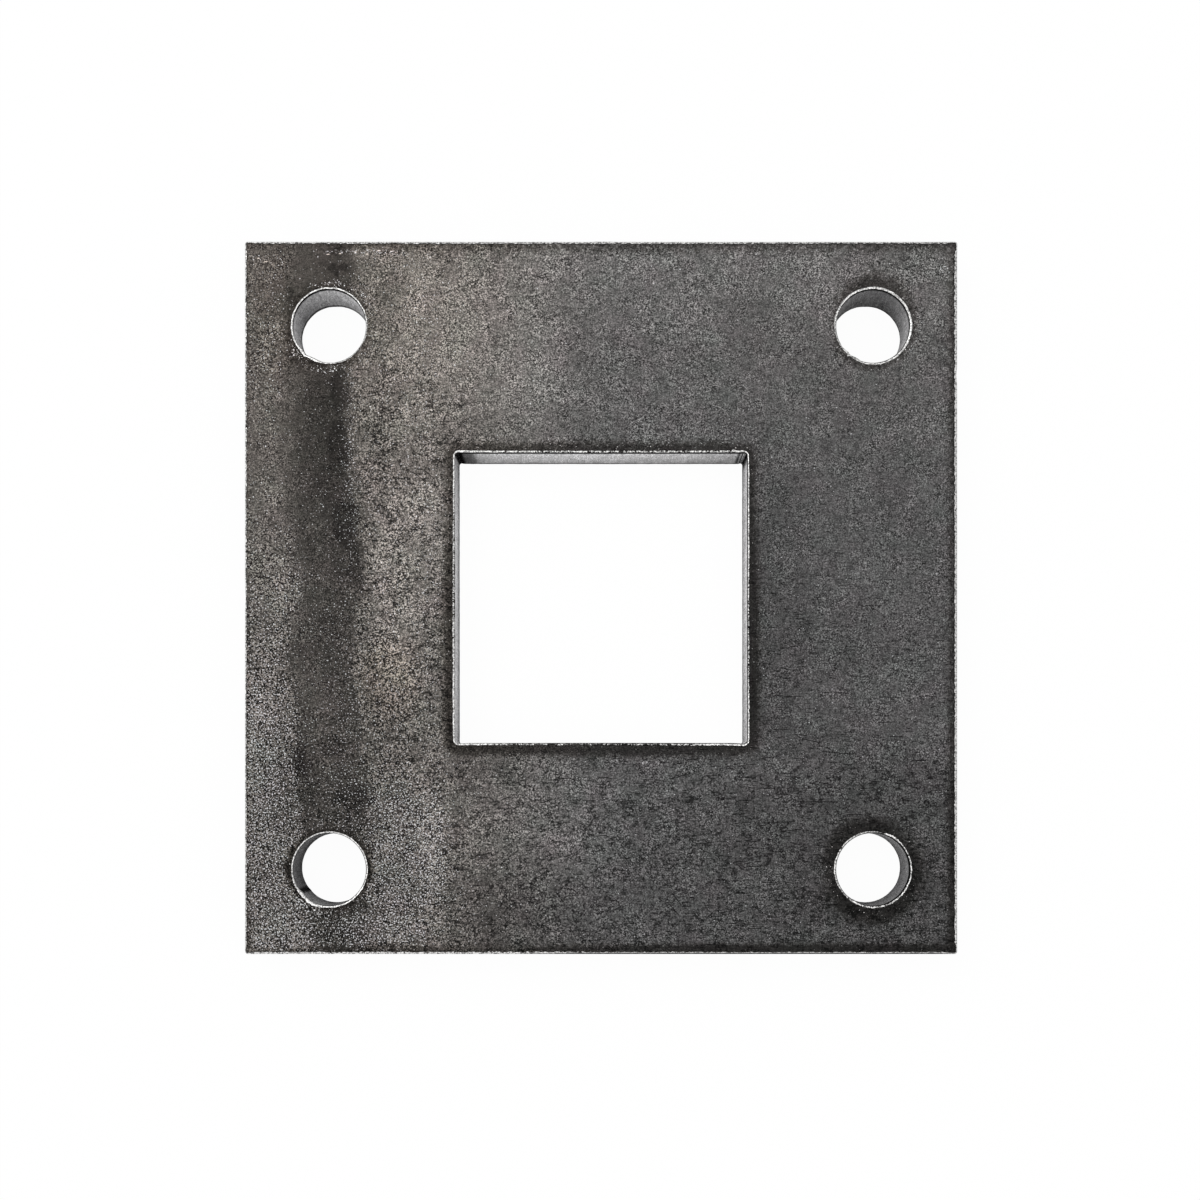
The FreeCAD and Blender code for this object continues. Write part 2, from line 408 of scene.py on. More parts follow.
# Jagged soot: middle and size in mm, and how black
sootPatches = [
    ((-36.6, 47), (2, 3), 0.5),  # at the top
    ((-42.5, 43), (2, 3.5), 0.4),  # left of the upper left hole
    ((-36.4, 28.6), (1.8, 3.6), 0.9),  # under the upper left hole
    ((-37, 21), (2, 4.5), 1),  # in the dark band
    ((-35.8, 10.5), (2, 4), 0.9),  # further down
    ((-34.2, 4.5), (1.6, 3.6), 0.8),  # at the bend
    ((-42.6, -23), (1.4, 3), 0.8),  # beside the bottom left
    ((-35, -28.5), (3.2, 2.8), 0.7),  # above the lower left hole
    ((-37.8, -21), (2.6, 2.2), 0.7),  # in the lower dark band
    ((-38.7, -46.5), (3.4, 2.4), 0.6),  # at the foot
]

# Areas where the rolls dragged short dark dashes, and where thin cracks craze the scale: how strong, and
# between which shares of the half side they fade in from the left or right and from the foot or top
scaleAreas = {
    "drag": [(1, [(-0.25, 0.25)], [(0.5, -0.2)]), (0.5, [(-0.45, -0.3), (-0.15, -0.3)], [])],
    "cracks": [(1, [(-0.72, -0.62), (-0.3, -0.42)], [(0.75, 0.5)]), (0.8, [(-0.5, -0.3)], [(-0.4, -0.5)])],
}

scaleLook = {
    "tone": 0.330,  # the face's plain level, 0 black to 1 white as a screen shows it
    "toneFall": 0.040,  # how much darker the foot of the plate is
    "toneClouds": ((9.0, 0.012), (2.6, 0.01), (1.5, 0.008)),
    "toneRange": (0.12, 0.6),
    "warmth": 0.2,  # a brown cast, which is stronger on the left and at the top
    "warmthLeft": 0.7,
    "leftFade": (-0.6, 0.1),  # shares of the half side
    "warmthTop": 0.15,
    "topFade": (0.1, 0.9),
    "grain": 1.03,  # contrast of the fine grain, and how much it grows to the foot
    "grainFall": 0.05,
    "grainRange": (0.4, 3.6),
    "sparkle": 0.12,  # painted glints: bright grains whose highlight is painted into the colour
    "sparkleRange": (0.0, 1.2),
    "bandClouds": ((15.0, 0.9), (5.0, 0.6), (1.6, 0.6)),  # mm that the bands' borders stray
    "patchCell": 5.0,
    "patchStray": 0.22,  # how far a blot's border strays and where it fades, in shares of its size
    "patchFade": (0.55, 1.35),
    "leastArea": 0.25,  # what the whole face has of drag and cracks
    "stainStart": 0.3,  # mm from the wall at which the heat stain starts to fade
    "spatterAway": 1.0,  # mm from the wall at which most spatter lies, and how far it spreads
    "spatterSpread": 0.95,
}


def bandField(points, quality, wobble):
    x = points[:, 0] + wobble - np.interp(points[:, 1], list(bandDrift), list(bandDrift.values()))
    share = (points[:, 1] / halfSide + 1) / 2
    total = np.zeros(len(points))
    for band in rollBands.values():
        top, foot = band.get(quality, (0, 0))
        softLeft, softRight = band["soft"]
        mask = smoothStep(band["left"] - softLeft, band["left"] + softLeft, x)
        mask *= 1 - smoothStep(band["right"] - softRight, band["right"] + softRight, x)
        total += mask * (foot + (top - foot) * share)
    return total


def blotField(points, patches):
    total = np.zeros(len(points))
    for middle, size, amount in patches:
        away = (points - np.array(middle)) / np.array(size)
        stray = [cloudNoise(points, scaleLook["patchCell"]) for _ in range(2)]
        away = away + scaleLook["patchStray"] * np.stack(stray, axis=1)
        reach = np.sqrt((away ** 2).sum(axis=1))
        total += amount * (1 - smoothStep(*scaleLook["patchFade"], reach))
    return total


def patchField(points, quality):
    patches = scalePatches.values()
    return blotField(points, [(*place, adds[quality]) for *place, adds in patches if quality in adds])


def areaField(points, areas):
    total = scaleLook["leastArea"]
    for strength, across, up in areas:
        for value, fades in ((points[:, 0], across), (points[:, 1], up)):
            for start, full in fades:
                strength = strength * smoothStep(start, full, value / halfSide)
        total = np.maximum(total, strength)
    return total


def cutFields(points):
    # the heat stain beside the cuts, and the spatter a little further away
    stain, spatter = 0, 0
    for cut in cuts:
        distance, index = findNearest(points, cut["search"])
        beyond = np.maximum(distance - scaleLook["stainStart"], 0) / cut["haloReach"][index]
        stain = np.maximum(stain, cut["haloDepth"][index] * np.exp(-beyond ** 2))
        away = (distance - scaleLook["spatterAway"]) / scaleLook["spatterSpread"]
        spatter = np.maximum(spatter, cut["spatter"][index] * np.exp(-away ** 2))
    return stain, spatter


def faceLooks(points):
    # every quality of the mill scale at these places on the plate
    x, y = points[:, 0] / halfSide, points[:, 1] / halfSide
    stain, spatter = cutFields(points)
    wobble = clouds(points, scaleLook["bandClouds"])
    tone = scaleLook["tone"] + scaleLook["toneFall"] * y
    tone += bandField(points, "tone", wobble) + patchField(points, "tone")
    tone += clouds(points, scaleLook["toneClouds"])
    warmth = scaleLook["warmth"] + scaleLook["warmthLeft"] * (1 - smoothStep(*scaleLook["leftFade"], x))
    warmth += scaleLook["warmthTop"] * smoothStep(*scaleLook["topFade"], y)
    grain = scaleLook["grain"] - scaleLook["grainFall"] * y
    grain += bandField(points, "grain", wobble) + patchField(points, "grain")
    sparkle = scaleLook["sparkle"] + bandField(points, "sparkle", wobble) + patchField(points, "sparkle")
    return {
        "tone": np.clip(tone, *scaleLook["toneRange"]),
        "warmth": warmth + patchField(points, "warmth"),
        "contrast": np.clip(grain, *scaleLook["grainRange"]),
        "sparkle": np.clip(sparkle, *scaleLook["sparkleRange"]),
        "stain": stain,
        "spatter": spatter,
        "drag": areaField(points, scaleAreas["drag"]),
        "soot": blotField(points, sootPatches),
        "cracks": areaField(points, scaleAreas["cracks"]),
    }


# Scratches and short dragged dashes, cut into the upper face as narrow grooves

scratchForm = {
    "halfWidth": 0.11,  # mm from a groove's bottom line to the face
    "pointStep": 0.3,
    "leastSteps": 3,
    "apart": 0.4,  # mm kept clear between one groove and the next
    "clearOfCuts": 1.1,
    "depth": (0.015, 0.04),
}

# Fields of scratches, with seeded length (mm) and lean (degrees); shade is 1 for dark and -1 for bright
scratchFields = {
    "under the opening": dict(middle=(2, -36), size=(26, 13), count=130, length=(0.8, 3), lean=4, shade=1),
    "lower right": dict(middle=(34, -30), size=(15, 19), count=90, length=(0.8, 3.2), lean=6, shade=1),
    "right of the opening": dict(middle=(34, 4), size=(13, 16), count=30, length=(0.6, 2), lean=8, shade=1),
    "light band": dict(middle=(-28, 2), size=(6, 42), count=90, length=(0.5, 2), lean=16, shade=1),
    "dark band": dict(middle=(-39, -10), size=(5, 34), count=24, length=(0.4, 1), lean=30, shade=1),
    "top left": dict(middle=(-33.5, 48.4), size=(5.5, 0.35), count=16, length=(0.5, 1.1), lean=5, shade=-1),
    "left corner": dict(middle=(-47.6, 47.4), size=(0.7, 0.4), count=3, length=(0.6, 1), lean=5, shade=-1),
    "right corner": dict(middle=(48, 45.8), size=(0.5, 0.9), count=4, length=(0.7, 1.4), lean=3, shade=-1),
}

# Start, end and shade of each scratch that is long enough to stand out
longScratches = [
    ((9.8, -41.2), (11.4, -43.3), 1), ((9.2, -42.5), (11.1, -44.7), 1), ((22.8, -31.5), (27.2, -31.4), 1),
    ((24.4, -27.5), (27.1, -27.7), 1), ((25.1, -32.8), (28.3, -32.4), 1), ((25.3, -33.5), (26.9, -33.4), 1),
    ((31.3, -29.3), (32.2, -30.6), 1), ((28.6, -28.6), (33.5, -28.6), 1), ((25.4, -39.7), (27.4, -40.2), 1),
    ((28.8, -41.1), (30.6, -41.3), 1), ((-26, 13.1), (-23.3, 12.1), 1), ((-28.6, 9.3), (-24, 9.8), 1),
    ((-30.2, 6.4), (-26.8, 8.2), 1), ((-24.9, 18), (-23.2, 16.5), 1), ((-26, 17.4), (-24.4, 16), 1),
    ((-28.4, 22.1), (-24.4, 22.4), -0.45), ((44.5, -46.6), (45.3, -48.2), 1), ((45.5, 48), (46.3, 47.1), 1),
    ((46.6, 45.9), (47.5, 45.1), 1),
]


def clearOfCuts(points, gap):
    clear = np.ones(len(points), bool)
    for cut in cuts:
        distance, index = findNearest(points, cut["search"])
        side = ((points - cut["base"][index]) * cut["intoSteel"][index]).sum(axis=1)
        clear &= (side > 0) & (distance > gap)
    return clear


def drawScratches():
    drawn = [(np.array(start), np.array(end), shade) for start, end, shade in longScratches]
    for field in scratchFields.values():
        for _ in range(field["count"]):
            middle = np.array(field["middle"]) + rng.uniform(-1, 1, 2) * np.array(field["size"])
            half = rng.uniform(*field["length"]) / 2
            lean = math.radians(rng.normal(0, field["lean"]))
            run = half * np.array([math.cos(lean), math.sin(lean)])
            drawn.append((middle - run, middle + run, field["shade"]))
    return drawn


noScratches = (np.zeros((0, 2)), np.zeros(0), np.zeros(0))  # places, depths and shades


def scratchPoints():
    # three rows of points to a groove: its bottom line, and the face on either side of it
    kept, sinks, shades = [[nothing] for nothing in noScratches]
    for start, end, shade in drawScratches():
        depth = rng.uniform(*scratchForm["depth"])
        run = end - start
        length = np.linalg.norm(run)
        side = np.array([-run[1], run[0]]) / length * scratchForm["halfWidth"]
        count = max(scratchForm["leastSteps"], int(length / scratchForm["pointStep"]))
        shares = np.linspace(0, 1, count + 1)[1:-1]
        bottom = start + shares[:, None] * run
        places = np.concatenate([bottom, bottom + side, bottom - side, [start, end]])
        if not clearOfCuts(places, scratchForm["clearOfCuts"]).all():
            continue
        gaps = np.linalg.norm(places[:, None] - np.concatenate(kept)[None], axis=2)
        if gaps.min(initial=math.inf) < scratchForm["apart"]:
            continue
        isBottom = np.arange(len(places)) < len(bottom)
        kept.append(places)
        sinks.append(np.where(isBottom, depth, 0.0))
        shades.append(np.where(isBottom, shade, 0.0))
    print("scratches cut:", len(kept) - 1)
    return np.concatenate(kept), np.concatenate(sinks), np.concatenate(shades)


# The plate's own mesh

faceForm = {
    "gridStep": 0.55,  # mm between the points of the upper face, and of the underside
    "underStep": 1.7,
    "jitter": 0.25,  # how far a point strays, as a share of the step
    "ringOffsets": (1.05, 1.45, 2.0),
    "ringStep": 0.6,
    "waviness": 0.008,  # mm, how far the rolled face wanders from flat
    "waves": ((11.0, 1.0), (3.0, 0.5)),
    "clearOfCuts": 0.95,
    "clearOfGrooves": 2.2,  # groove half widths
    "sharpAngle": 38,
    "samePoint": 1e-7,
}


def insideLoop(points, loop):
    # even-odd test of points against one closed loop
    near = np.all((points >= loop.min(axis=0)) & (points <= loop.max(axis=0)), axis=1)
    tested = points[near]
    result = np.zeros(len(tested), bool)
    for first, second in zip(loop, np.roll(loop, -1, axis=0)):
        if first[1] == second[1]:
            continue
        crosses = (first[1] > tested[:, 1]) != (second[1] > tested[:, 1])
        x = first[0] + (tested[:, 1] - first[1]) * (second[0] - first[0]) / (second[1] - first[1])
        result ^= crosses & (tested[:, 0] < x)
    inside = np.zeros(len(points), bool)
    inside[near] = result
    return inside


def loosePoints(step, offsets, grooves):
    # a jittered grid kept clear of the cuts, rows of points that follow them, and the scratches
    count = int(2 * halfSide / step)
    ticks = (np.arange(count) + 0.5) * step - count * step / 2
    grid = np.stack([axis.ravel() for axis in np.meshgrid(ticks, ticks)], axis=1)
    grid += rng.uniform(-1, 1, grid.shape) * step * faceForm["jitter"]
    rows = [grid[clearOfCuts(grid, faceForm["clearOfCuts"] + max(offsets, default=0))]]
    for offset in offsets:
        for cut in cuts:
            spacing = np.linalg.norm(cut["base"][1] - cut["base"][0])
            stride = max(1, round(faceForm["ringStep"] / spacing))
            rows.append((cut["base"] + cut["intoSteel"] * offset)[::stride])
    points = np.concatenate(rows)
    if len(grooves):
        distance, _ = findNearest(points, makeSearch(grooves))
        points = points[distance > faceForm["clearOfGrooves"] * scratchForm["halfWidth"]]
    return np.concatenate([grooves, points])


def fillFace(rings, step, offsets, grooves):
    # triangles between the outline's ring and the holes' rings, with loose points to shape the face
    edges = []
    for ring in rings:
        start, size = len(edges), len(ring)
        edges += [(start + i, start + (i + 1) % size) for i in range(size)]
    everything = np.concatenate(rings + [loosePoints(step, offsets, grooves)])
    made = delaunay_2d_cdt([Vector(point) for point in everything], edges, [], 0, faceForm["samePoint"], True)
    places = np.array([tuple(place) for place in made[0]])
    triangles = np.array(made[2])
    centroids = places[triangles].mean(axis=1)
    keep = np.ones(len(triangles), bool)
    for cut, ring in zip(cuts, rings):
        inside = insideLoop(centroids, ring)
        keep &= inside if cut["isOutline"] else ~inside
    origin = np.array([min(sources) if sources else len(everything) for sources in made[3]])
    return places, triangles[keep], origin


def addPoints(part, points, looks):
    first = part["count"]
    part["points"].append(points)
    part["count"] += len(points)
    part["looks"].append((first, part["count"], looks))
    return first


def addFaces(part, faces, material, flip):
    part["faces"] += [face[::-1] if flip else face for face in faces]
    part["materials"] += [material] * len(faces)


# What the materials read of a cut's plan, as values of the mesh
keyedLooks = ("lipTone", "lipCover", "lipSplit", "lipDark", "lipSeam", "lipEdge", "wallTone", "wallFoot")


def sweepCut(part, cut):
    # rows of points from the face over the lip, down the wall and out along the small chamfer
    inward, lipWidth, size = cut["inward"], cut["lipWidth"], len(cut["base"])
    looks = {name: cut[name] for name in keyedLooks}
    faceLevel = thickness - cutForm["faceDrop"]
    lipFoot = faceLevel - cutForm["lipDepth"]
    limit = halfSide - cutForm["sideGap"]
    burrKnots, waveKnots = size // cutForm["burrPoints"], size // cutForm["wavePoints"]
    rows, outlines = [], []

    def addRow(offset, z, across, down, seam):
        xy = cut["base"] + cut["intoSteel"] * np.broadcast_to(offset, size)[:, None]
        if cut["isOutline"]:
            xy = np.clip(xy, -limit, limit)
        points = np.column_stack([xy, np.broadcast_to(z, size)])
        places = {"lipAcross": across, "wallDown": down, "seamNear": seam}
        rows.append(addPoints(part, points, {**looks, **places}))
        outlines.append(xy)

    addRow(lipWidth + cut["seamReach"], faceLevel, 0.0, 0.0, 0.0)
    for step in range(cutForm["lipSteps"] + 1):
        turn = step / cutForm["lipSteps"] * math.pi / 2
        across = math.sin(turn)
        burr = math.sin(min(1.0, across * cutForm["burrCrest"]) * math.pi) * cut["ragged"]
        offset = lipWidth * (1 - across) - inward * across
        offset = offset + cutForm["burr"] * burr * loopNoise(size, burrKnots)
        rise = cutForm["burrRise"] * cutForm["faceDrop"] * burr * (1 + loopNoise(size, burrKnots)) / 2
        z = faceLevel - cutForm["lipDepth"] * (1 - math.cos(turn)) ** cutForm["curve"] + rise
        addRow(offset, np.minimum(z, thickness - cutForm["topGap"]), across, 0.0, 1.0 if step == 0 else 0.0)
    upperWaves, lowerWaves = [loopNoise(size, waveKnots) for _ in range(2)]
    for step in range(1, cutForm["wallSteps"] + 1):
        down = step / cutForm["wallSteps"]
        z = lipFoot * (1 - down) + cutForm["underChamfer"] * down
        waves = cutForm["striation"] * (upperWaves * (1 - down) + lowerWaves * down)
        taper = cut["taper"] * down ** cutForm["curve"]
        offset = waves - inward * (1 - cutForm["inwardLost"] * down) - taper
        addRow(offset, z, 1.0, down, 0.0)
    addRow(offset + cutForm["underChamfer"], 0.0, 1.0, 1.0, 0.0)
    turned = [(i, (i + 1) % size) for i in range(size)]
    for row, (a, b) in enumerate(zip(rows, rows[1:])):
        material = 0 if row == 0 else 1 if row <= cutForm["lipSteps"] else 2
        faces = [(a + i, a + j, b + j, b + i) for i, j in turned]
        addFaces(part, faces, material, not cut["isOutline"])
    return (outlines[0], rows[0]), (outlines[-1], rows[-1])


def coverFace(part, ends, level, step, offsets, scratches, isUnder):
    grooves, sinks, shades = scratches
    places, triangles, origin = fillFace([ring for ring, _ in ends], step, offsets, grooves)
    onRing = np.concatenate([first + np.arange(len(ring)) for ring, first in ends])
    isLoose = origin >= len(onRing)
    loose = places[isLoose]
    ripple = faceForm["waviness"] * np.abs(clouds(loose, faceForm["waves"]))
    looseOrigin = origin[isLoose] - len(onRing)
    isGroove = looseOrigin < len(grooves)
    sink, shade = np.zeros(len(loose)), np.zeros(len(loose))
    sink[isGroove] = sinks[looseOrigin[isGroove]]
    shade[isGroove] = shades[looseOrigin[isGroove]]
    z = level + ripple if isUnder else level - ripple - sink
    first = addPoints(part, np.column_stack([loose, z]), {"scratch": shade})
    index = np.empty(len(places), int)
    index[isLoose] = first + np.arange(isLoose.sum())
    index[~isLoose] = onRing[origin[~isLoose]]
    addFaces(part, index[triangles].tolist(), 0, isUnder)


def addObject(name, data):
    made = bpy.data.objects.new(name, data)
    bpy.context.collection.objects.link(made)
    return made


def finishPart(part, name):
    points = np.concatenate(part["points"])
    data = bpy.data.meshes.new(name)
    data.from_pydata((points * metresPerMm).tolist(), [], part["faces"])
    data.polygons.foreach_set("material_index", part["materials"])
    data.polygons.foreach_set("use_smooth", [True] * len(part["faces"]))
    # the underside has the same kind of scale, laid half a turn round
    looks = faceLooks(np.where(points[:, 2:] < thickness / 2, -points[:, :2], points[:, :2]))
    for first, last, given in part["looks"]:
        for key, value in given.items():
            looks.setdefault(key, np.zeros(len(points)))[first:last] = value
    for key, values in looks.items():
        data.attributes.new(key, "FLOAT", "POINT").data.foreach_set("value", values)
    data.update()
    data.set_sharp_from_angle(angle=math.radians(faceForm["sharpAngle"]))
    return addObject(name, data)


def makePlate():
    # a mesh in the making: points in mm, faces with their material, and looks given to runs of points
    part = {"points": [], "count": 0, "faces": [], "materials": [], "looks": []}
    upperEnds, underEnds = zip(*[sweepCut(part, cut) for cut in cuts])
    level, offsets = thickness - cutForm["faceDrop"], faceForm["ringOffsets"]
    coverFace(part, upperEnds, level, faceForm["gridStep"], offsets, scratchPoints(), False)
    coverFace(part, underEnds, 0.0, faceForm["underStep"], (), noScratches, True)
    return finishPart(part, "cutPlate")


cutPlate = makePlate()
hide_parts("plate")
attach(cutPlate, "root")
triangleCount = sum(len(polygon.vertices) - 2 for polygon in cutPlate.data.polygons)
print("plate meshed:", len(cutPlate.data.vertices), "vertices,", triangleCount, "triangles")


# Helpers for the materials: each works in the node tree that its first socket belongs to

def feed(socket, value):
    if isinstance(value, bpy.types.NodeSocket):
        socket.id_data.links.new(value, socket)
    else:
        socket.default_value = value


def addNode(tree, kind, **inputs):
    made = tree.nodes.new("ShaderNode" + kind)
    for key, value in inputs.items():
        feed(made.inputs[key], value)
    return made


def combine(operation, *values):
    tree = next(value.id_data for value in values if isinstance(value, bpy.types.NodeSocket))
    made = tree.nodes.new("ShaderNodeMath")
    made.operation = operation
    for socket, value in zip(made.inputs, values):
        feed(socket, value)
    return made.outputs[0]


def times(first, *others):
    for other in others:
        first = combine("MULTIPLY", first, other)
    return first


def plus(first, *others):
    for other in others:
        first = combine("ADD", first, other)
    return first


def minus(first, second):
    return combine("SUBTRACT", first, second)


def withMore(base, value, factor):
    # the base and so many times the value
    return combine("MULTIPLY_ADD", value, factor, base)


def ramp(value, low, high, lowResult=0.0, highResult=1.0):
    made = value.id_data.nodes.new("ShaderNodeMapRange")
    made.interpolation_type = "SMOOTHSTEP"
    for socket, given in zip(made.inputs, (value, low, high, lowResult, highResult)):
        feed(socket, given)
    return made.outputs["Result"]


def blendColors(amount, first, second):
    made = amount.id_data.nodes.new("ShaderNodeMix")
    made.data_type = "RGBA"
    for index, value in ((0, amount), (6, first), (7, second)):
        feed(made.inputs[index], value)
    return made.outputs[2]


def stretch(vector, amounts):
    made = vector.id_data.nodes.new("ShaderNodeVectorMath")
    made.operation = "MULTIPLY"
    feed(made.inputs[0], vector)
    feed(made.inputs[1], amounts)
    return made.outputs[0]


def swing(value, amount):
    # a value about its middle, times an amount
    return times(minus(value, 0.5), amount)


def makeMark(place, scale, detail=0.0, roughness=0.5, distortion=0.0, stretched=None, fade=None, swings=None):
    # noise with so many blots per mm, and then a fade between two of its levels or a swing about its middle
    vector = stretch(place, stretched) if stretched else place
    noise = addNode(place.id_data, "TexNoise", Vector=vector, Scale=scale, Detail=detail,
                    Roughness=roughness, Distortion=distortion).outputs["Fac"]
    if fade:
        return ramp(noise, *fade)
    return swing(noise, swings) if swings else noise


def makeMarks(place, form):
    # a group's or finish's own values, with each noise that is described there made at this place
    made = {name: makeMark(place, **given) for name, given in form.items() if isinstance(given, dict)}
    return SimpleNamespace(**{**form, **made})


def greyColor(level, warm=(1.0, 1.0, 1.0)):
    red, green, blue = [times(level, share) for share in warm]
    return addNode(level.id_data, "CombineColor", Red=red, Green=green, Blue=blue).outputs[0]


def meshLook(tree, name):
    made = tree.nodes.new("ShaderNodeAttribute")
    made.attribute_name = name
    return made.outputs["Fac"]


screenPower = 2.25


def lightOf(tone):
    # from a level on the screen to the light that it stands for
    return combine("POWER", tone, screenPower)


def newGroup(name, inputs, outputs):
    # a Vector or a Color socket is of that kind, and every other one is a plain number
    group = bpy.data.node_groups.new(name, "ShaderNodeTree")
    for labels, direction in ((inputs, "INPUT"), (outputs, "OUTPUT")):
        for label in labels:
            kind = label if label in ("Vector", "Color") else "Float"
            group.interface.new_socket(name=label, in_out=direction, socket_type="NodeSocket" + kind)
    return group, group.nodes.new("NodeGroupInput").outputs, group.nodes.new("NodeGroupOutput").inputs


def placeGroup(tree, group, inputs):
    made = tree.nodes.new("ShaderNodeGroup")
    made.node_tree = group
    for key, value in inputs.items():
        feed(made.inputs[key], value)
    return made.outputs


# Node groups: the fine grain of the steel, and the mill scale skin with its heat stain. In their
# dictionaries, scale is in blots per mm. A fade has two levels, and what comes out at each of them where
# that isn't 0 and 1. Grain, hatching, dashes and cracks add up to an exponent, which doubles or halves
# the light with each step of one.

grainForm = {
    "fine": dict(scale=6.1, detail=0.6, distortion=0.4, swings=9.8),
    "coarse": dict(scale=5.1, detail=0.4, distortion=0.5, swings=8.1),
    "broad": dict(scale=1.3, detail=1.0, distortion=0.3, swings=0.9),
    "uneven": dict(scale=0.42, detail=1.5, roughness=0.55, fade=(0.3, 0.7, 0.6, 1.4)),
    "coarseShare": (1.0, 2.2, 0.15, 0.9),  # by contrast
    "strength": 0.78,
    "level": dict(stretched=(0.7, 4.4, 1.0), scale=1.0, detail=1.0),
    "upright": dict(stretched=(4.4, 0.7, 1.0), scale=1.0, detail=1.0),
    "hatch": 0.8,
    "hatchDragged": 0.5,
    "dashes": dict(stretched=(0.45, 4.2, 1.0), scale=1.0, detail=1.5, distortion=0.15, fade=(0.63, 0.69)),
    "dashDepth": -1.6,
    "crossing": dict(stretched=(0.85, 1.5, 1.0), scale=1.0, detail=1.5, roughness=0.6),
    "crackLine": (0.02, 0.075, 1.0, 0.0),
    "crackPieces": dict(scale=0.9, detail=1.0, fade=(0.5, 0.56)),
    "crackDepth": -1.8,
    "darkest": -2.6,
    "lightest": 2.3,
    "troughs": -0.1,
    "glints": dict(scale=5.2, distortion=0.5),
    "glintLevel": (0.0, 1.25, 0.79, 0.6),  # by sparkle
    "glintSoft": 0.07,
    "relief": 0.3,
}


def makeGrainGroup():
    group, given, result = newGroup(
        "steelGrain", ("Vector", "Contrast", "Sparkle", "Drag", "Cracks"), ("Gain", "Glint", "Height"))
    own = makeMarks(given["Vector"], grainForm)
    # fine grain everywhere, which gives way to coarser grain where the contrast is strong
    coarseShare = ramp(given["Contrast"], *own.coarseShare)
    grain = withMore(times(own.fine, minus(1.0, coarseShare)), own.coarse, coarseShare)
    grain = withMore(own.broad, grain, own.uneven)
    exponent = times(grain, times(given["Contrast"], own.strength))
    # hatching of fine level and upright lines, and longer dark dashes where the rolls dragged
    hatch = minus(plus(own.level, own.upright), 1.0)
    hatchStrength = withMore(own.hatch, given["Drag"], own.hatchDragged)
    exponent = withMore(exponent, hatch, hatchStrength)
    exponent = withMore(exponent, times(own.dashes, given["Drag"]), own.dashDepth)
    # short crooked cracks: pieces of the line along which a noise crosses its middle
    thin = ramp(combine("ABSOLUTE", minus(own.crossing, 0.5)), *own.crackLine)
    cracks = times(thin, own.crackPieces, given["Cracks"])
    exponent = withMore(exponent, cracks, own.crackDepth)
    exponent = combine("MAXIMUM", combine("MINIMUM", exponent, own.lightest), own.darkest)
    # the troughs of the grain are deeper than its crests are high
    exponent = withMore(exponent, times(exponent, exponent), own.troughs)
    threshold = ramp(given["Sparkle"], *own.glintLevel)
    glint = ramp(own.glints, threshold, plus(threshold, own.glintSoft))
    feed(result["Gain"], combine("POWER", 2.0, exponent))
    feed(result["Glint"], glint)
    feed(result["Height"], withMore(glint, grain, own.relief))
    return group


skinForm = {
    "border": dict(scale=1.9, detail=3.0, roughness=0.65, swings=1.2),
    "stainFade": (0.25, 0.85),
    "stainCalm": -0.45,  # what a full stain adds to the contrast, the light and the roughness
    "stainDark": -0.7,
    "stainRough": 0.12,
    "jagged": dict(scale=0.9, detail=4.0, roughness=0.62, swings=1.8),
    "sootFade": (0.5, 0.62),
    "sootDark": -0.42,
    "glintLight": 0.48,
    "seamWander": dict(scale=2.4, detail=1.0, swings=0.8),
    "seamFade": (0.4, 0.62, 1.0, 0.1),
    "darkGroove": (0.3, 0.6, 1.0, 0.16),
    "brightGroove": (-0.6, -0.3, 0.55, 0.0),
    "clumps": dict(scale=0.7, detail=1.0, fade=(0.35, 0.65, 0.7, 1.15)),
    "beads": dict(scale=5.4, detail=0.5, distortion=0.5),
    "beadLift": 0.25,  # how much full spatter lifts the noise that beads rise from
    "beadFade": (0.85, 0.9),
    "beadLight": 0.7,
    "beadHeight": 1.5,
    "lightest": 0.8,
    "blots": dict(scale=0.24, detail=2.0, roughness=0.6),
    "red": (0.996, 0.11, 0.18, 0.035),  # plain, and added by warmth, blots and stain
    "blue": (1.024, -0.125, 0.08, -0.04),
    "rough": 0.62,
    "roughGain": 2.0,  # the grain's brightest crests count as this
    "grainSmooth": -0.08,  # what the grain's crests and its glints add to the roughness
    "glintSmooth": -0.15,
}


# Each is a value of the mesh, under the same name in small letters
skinQualities = ("Tone", "Warmth", "Contrast", "Sparkle", "Drag", "Stain", "Spatter", "Scratch", "Soot",
    "Cracks")


